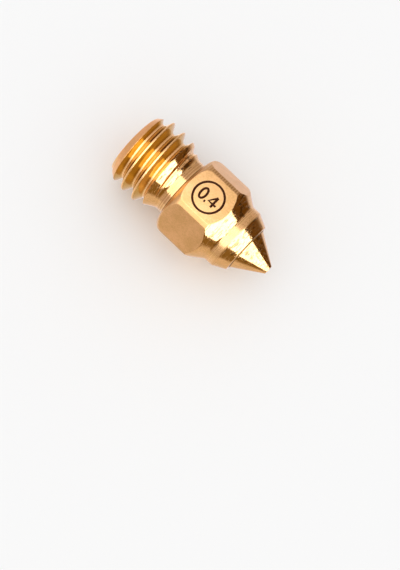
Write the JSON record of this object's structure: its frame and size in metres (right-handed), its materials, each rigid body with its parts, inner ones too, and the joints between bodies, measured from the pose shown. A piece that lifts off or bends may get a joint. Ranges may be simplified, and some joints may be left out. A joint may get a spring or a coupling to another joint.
{
  "type": "3d printer nozzle",
  "caption": "One-piece turned brass extruder nozzle: stepped conical tip, hexagonal wrench body, undercut neck and external screw thread, with a through bore.",
  "frame": {"origin": "on the bore axis, half-way between the sealing face and the tip", "axes": "+X along the bore axis toward the tip; +Z out of the wrench flat that carries the size stamp; +Y completes the right-handed frame, out of a corner of the hexagon"},
  "size_m": [0.013, 0.0066, 0.006],
  "materials": {
    "brass": "turned and milled brass, bright on the cones and collar, with fine tool marks on the flats"
  },
  "bodies": {
    "root": {"nozzle_body": "brass"}
  },
  "joints": []
}
